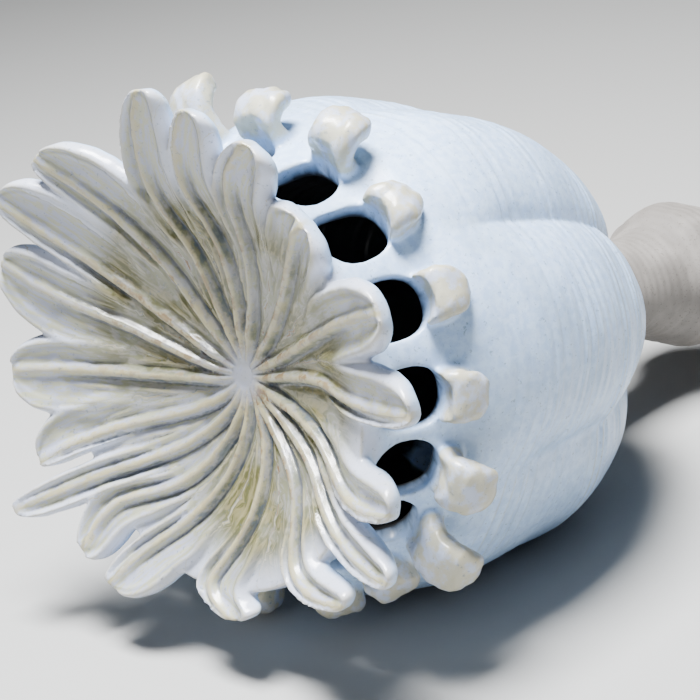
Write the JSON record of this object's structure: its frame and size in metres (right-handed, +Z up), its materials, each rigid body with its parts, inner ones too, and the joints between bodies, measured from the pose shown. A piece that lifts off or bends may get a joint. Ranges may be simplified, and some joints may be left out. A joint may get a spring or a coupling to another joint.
{
  "type": "ceramic poppy seed head",
  "caption": "Hollow lobed ceramic poppy seed head lying on its side, with a ribbed crown of curled petals, a ring of windows and tongues below it, and a short ringed stem.",
  "frame": {"origin": "on the surface it rests on, under the middle of the bounding box", "axes": "+Z up; the crown faces -X and the stem points to +X, dipping 10 degrees"},
  "size_m": [0.3502, 0.2146, 0.2136],
  "materials": {
    "celadon_glaze": "satin to glossy pale blue-white glaze",
    "bare_stoneware": "bare matte clay"
  },
  "bodies": {
    "root": {"seed_head": "celadon_glaze", "stem": "bare_stoneware"}
  },
  "joints": []
}
